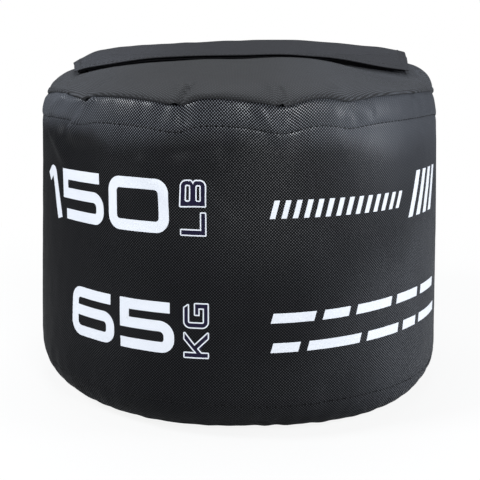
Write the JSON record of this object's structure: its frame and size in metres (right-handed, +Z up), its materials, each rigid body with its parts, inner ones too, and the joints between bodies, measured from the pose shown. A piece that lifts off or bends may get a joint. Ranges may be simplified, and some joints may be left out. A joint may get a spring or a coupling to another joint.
{
  "type": "sandbag trainer",
  "caption": "Black drum-shaped strongman sandbag of heavy woven nylon, filled with sand, with a zip on top under a long closure flap.",
  "frame": {"origin": "centre of the flat base, on the floor", "axes": "+Z up along the drum's axis; -Y is the side of the flap's free edge; +X runs along the flap towards the zip's closed end"},
  "size_m": [0.4254, 0.4254, 0.3468],
  "materials": {
    "shell_cloth": "heavy black basket-weave nylon with a coated sheen",
    "flap_cloth": "the same black nylon, two layers, top-stitched",
    "binding_cloth": "flat black polyester binding and tape",
    "fastener_cloth": "black hook and loop tape",
    "zip_plastic": "moulded black plastic teeth",
    "zip_metal": "die-cast metal, black painted",
    "liner_cloth": "plain grey polyester liner",
    "sand": "dry fine sand"
  },
  "bodies": {
    "bag": {"base_panel": "shell_cloth", "base_reinforcement": "binding_cloth", "base_seam_binding": "binding_cloth", "wall_panel": "shell_cloth", "wall_seam_binding": "binding_cloth", "top_seam_binding": "binding_cloth", "top_front_panel": "shell_cloth", "top_rear_panel": "shell_cloth", "zip_tape_front": "binding_cloth", "zip_tape_rear": "binding_cloth", "zip_teeth_front": "zip_plastic", "zip_teeth_rear": "zip_plastic", "zip_stop_open_end": "zip_metal", "zip_stop_closed_end": "zip_metal", "zip_end_tab_left": "binding_cloth", "zip_end_tab_right": "binding_cloth", "front_loop_tape": "fastener_cloth", "flap_hem": "flap_cloth", "liner_bag": "liner_cloth", "liner_neck_tie": "binding_cloth", "sand_fill": "sand"},
    "flap": {"closure_flap": "flap_cloth", "flap_lining": "binding_cloth", "flap_hook_tape": "fastener_cloth"},
    "slider": {"zip_slider": "zip_metal"},
    "puller": {"zip_puller": "zip_metal"}
  },
  "joints": [
    {"name": "flap_hinge", "type": "hinge", "parent": "bag", "child": "flap", "pos_m": [0, 0.042, 0.32916], "axis": [-1, 0, 0], "range_deg": [0, 140]},
    {"name": "zip_slide", "type": "slide", "parent": "bag", "child": "slider", "axis": [-1, 0, 0], "range_m": [0, 0.198]},
    {"name": "puller_swing", "type": "hinge", "parent": "slider", "child": "puller", "pos_m": [0.1078, 0, 0.32819], "axis": [0, 1, 0], "range_deg": [0, 20]}
  ]
}
